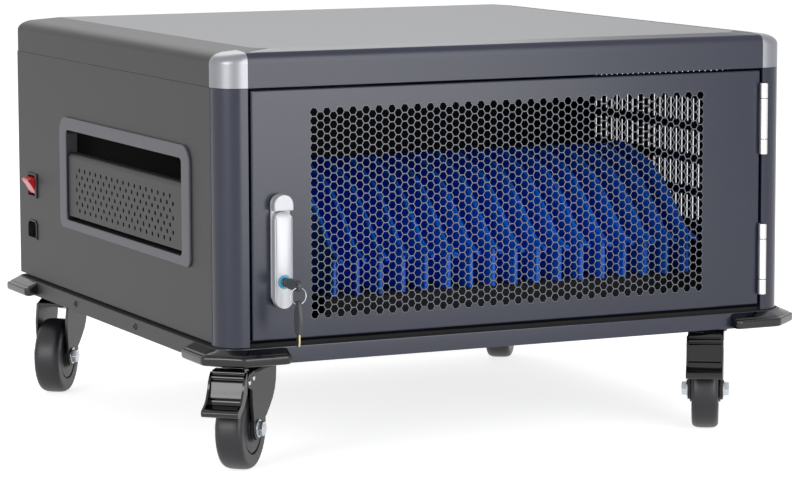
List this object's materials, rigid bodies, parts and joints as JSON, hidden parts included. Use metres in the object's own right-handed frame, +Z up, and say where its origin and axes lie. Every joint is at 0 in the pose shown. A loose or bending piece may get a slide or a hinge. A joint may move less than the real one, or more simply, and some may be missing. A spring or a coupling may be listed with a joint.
{
  "type": "charging cabinet",
  "caption": "Low lockable charging cabinet on braked swivel casters, with a hexagon-mesh door, swing handle, upright device dividers and recessed side grip.",
  "frame": {"origin": "on the floor that the wheels stand on, below the middle of the overall box", "axes": "+X to the right seen from the front, +Y from the door towards the back, +Z up"},
  "size_m": [0.6412, 0.641, 0.393],
  "materials": {
    "panel_paint": "fine-textured charcoal powder coat",
    "door_paint": "fine-textured blue-grey powder coat",
    "inner_paint": "matt black powder coat",
    "caster_steel": "satin black",
    "silver_metal": "satin silver",
    "zinc": "bright zinc plate",
    "hinge_steel": "pale satin nickel",
    "black_plastic": "glossy moulded black",
    "key_plastic": "matt dark grey",
    "blue_plastic": "semi-gloss blue",
    "red_plastic": "glossy red",
    "cyan_plastic": "glossy light blue",
    "wheel_rubber": "moulded dark grey rubber"
  },
  "bodies": {
    "cabinet": {"base_tray": "panel_paint", "side_panel_left": "panel_paint", "side_panel_right": "panel_paint", "back_panel": "panel_paint", "post_front_left": "door_paint", "post_front_right": "door_paint", "lid": "panel_paint", "lid_cap_left": "silver_metal", "lid_cap_right": "silver_metal", "handle_bezel": "panel_paint", "handle_grip_plate": "panel_paint", "switch_housing": "black_plastic", "power_inlet": "black_plastic", "bumper_front_left": "black_plastic", "bumper_front_right": "black_plastic", "bumper_back_left": "black_plastic", "bumper_back_right": "black_plastic", "hinge_upper_frame_leaf": "hinge_steel", "hinge_lower_frame_leaf": "hinge_steel", "bay_tray": "inner_paint", "rear_bulkhead": "inner_paint", "charger_unit": "inner_paint", "divider_01": "blue_plastic", "divider_02": "blue_plastic", "divider_03": "blue_plastic", "divider_04": "blue_plastic", "divider_05": "blue_plastic", "divider_06": "blue_plastic", "divider_07": "blue_plastic", "divider_08": "blue_plastic", "divider_09": "blue_plastic", "divider_10": "blue_plastic", "divider_11": "blue_plastic", "divider_12": "blue_plastic", "divider_13": "blue_plastic", "divider_14": "blue_plastic", "divider_15": "blue_plastic", "divider_16": "blue_plastic", "divider_17": "blue_plastic"},
    "door": {"door_panel": "door_paint", "hinge_upper_door_leaf": "hinge_steel", "hinge_lower_door_leaf": "hinge_steel", "lock_plate": "silver_metal"},
    "latch": {"latch_spindle": "zinc"},
    "lever": {"lock_lever": "silver_metal"},
    "lock_core": {"lock_cylinder": "cyan_plastic", "key_in_lock": "key_plastic"},
    "ring": {"key_ring": "zinc"},
    "loose_key": {"spare_key": "key_plastic"},
    "switch_rocker": {"rocker": "red_plastic"},
    "swivel_front_left": {"caster_fork_front_left": "caster_steel"},
    "rolling_front_left": {"wheel_front_left": "wheel_rubber"},
    "swivel_front_right": {"caster_fork_front_right": "caster_steel"},
    "rolling_front_right": {"wheel_front_right": "wheel_rubber"},
    "swivel_back_left": {"caster_fork_back_left": "caster_steel"},
    "rolling_back_left": {"wheel_back_left": "wheel_rubber"},
    "swivel_back_right": {"caster_fork_back_right": "caster_steel"},
    "rolling_back_right": {"wheel_back_right": "wheel_rubber"},
    "pedal_front_left": {"brake_pedal_front_left": "black_plastic"},
    "pedal_front_right": {"brake_pedal_front_right": "black_plastic"}
  },
  "joints": [
    {"name": "door_swing", "type": "hinge", "parent": "cabinet", "child": "door", "pos_m": [0.27495, -0.27635, 0.2386], "axis": [0, 0, 1], "range_deg": [0, 175]},
    {"name": "handle_turn", "type": "hinge", "parent": "door", "child": "latch", "pos_m": [-0.23975, -0.27535, 0.2354], "axis": [0, -1, 0], "range_deg": [0, 90]},
    {"name": "lever_lift", "type": "hinge", "parent": "latch", "child": "lever", "pos_m": [-0.23975, -0.27775, 0.2414], "axis": [-1, 0, 0], "range_deg": [0, 30]},
    {"name": "key_turn", "type": "hinge", "parent": "lever", "child": "lock_core", "pos_m": [-0.23975, -0.28465, 0.1793], "axis": [0, -1, 0], "range_deg": [0, 90]},
    {"name": "ring_swing", "type": "hinge", "parent": "lock_core", "child": "ring", "pos_m": [-0.23975, -0.31505, 0.1781], "axis": [-1, 0, 0], "range_deg": [-15, 60]},
    {"name": "spare_key_swing", "type": "hinge", "parent": "ring", "child": "loose_key", "pos_m": [-0.23975, -0.31505, 0.1625], "axis": [-1, 0, 0], "range_deg": [-10, 45]},
    {"name": "rocker_tilt", "type": "hinge", "parent": "cabinet", "child": "switch_rocker", "pos_m": [-0.29575, 0.25925, 0.2182], "axis": [0, 1, 0], "range_deg": [0, 16]},
    {"name": "caster_swivel_front_left", "type": "hinge", "parent": "cabinet", "child": "swivel_front_left", "pos_m": [-0.24275, -0.21375, 0.0992], "axis": [0, 0, 1], "continuous": true},
    {"name": "wheel_spin_front_left", "type": "hinge", "parent": "swivel_front_left", "child": "rolling_front_left", "pos_m": [-0.26793, -0.24221, 0.039], "axis": [0.749, -0.6626, 0], "continuous": true},
    {"name": "brake_press_front_left", "type": "hinge", "parent": "swivel_front_left", "child": "pedal_front_left", "pos_m": [-0.2825, -0.25869, 0.087], "axis": [0.749, -0.6626, 0], "range_deg": [0, 12]},
    {"name": "caster_swivel_front_right", "type": "hinge", "parent": "cabinet", "child": "swivel_front_right", "pos_m": [0.24925, -0.21375, 0.0992], "axis": [0, 0, 1], "continuous": true},
    {"name": "wheel_spin_front_right", "type": "hinge", "parent": "swivel_front_right", "child": "rolling_front_right", "pos_m": [0.2294, -0.24615, 0.039], "axis": [0.8526, -0.5225, 0], "continuous": true},
    {"name": "brake_press_front_right", "type": "hinge", "parent": "swivel_front_right", "child": "pedal_front_right", "pos_m": [0.2179, -0.26491, 0.087], "axis": [0.8526, -0.5225, 0], "range_deg": [0, 12]},
    {"name": "caster_swivel_back_left", "type": "hinge", "parent": "cabinet", "child": "swivel_back_left", "pos_m": [-0.25875, 0.26525, 0.0992], "axis": [0, 0, 1], "continuous": true},
    {"name": "wheel_spin_back_left", "type": "hinge", "parent": "swivel_back_left", "child": "rolling_back_left", "pos_m": [-0.28188, 0.2351, 0.039], "axis": [0.7934, -0.6088, 0], "continuous": true},
    {"name": "caster_swivel_back_right", "type": "hinge", "parent": "cabinet", "child": "swivel_back_right", "pos_m": [0.26525, 0.26525, 0.0992], "axis": [0, 0, 1], "continuous": true},
    {"name": "wheel_spin_back_right", "type": "hinge", "parent": "swivel_back_right", "child": "rolling_back_right", "pos_m": [0.24373, 0.23393, 0.039], "axis": [0.8241, -0.5664, 0], "continuous": true}
  ]
}
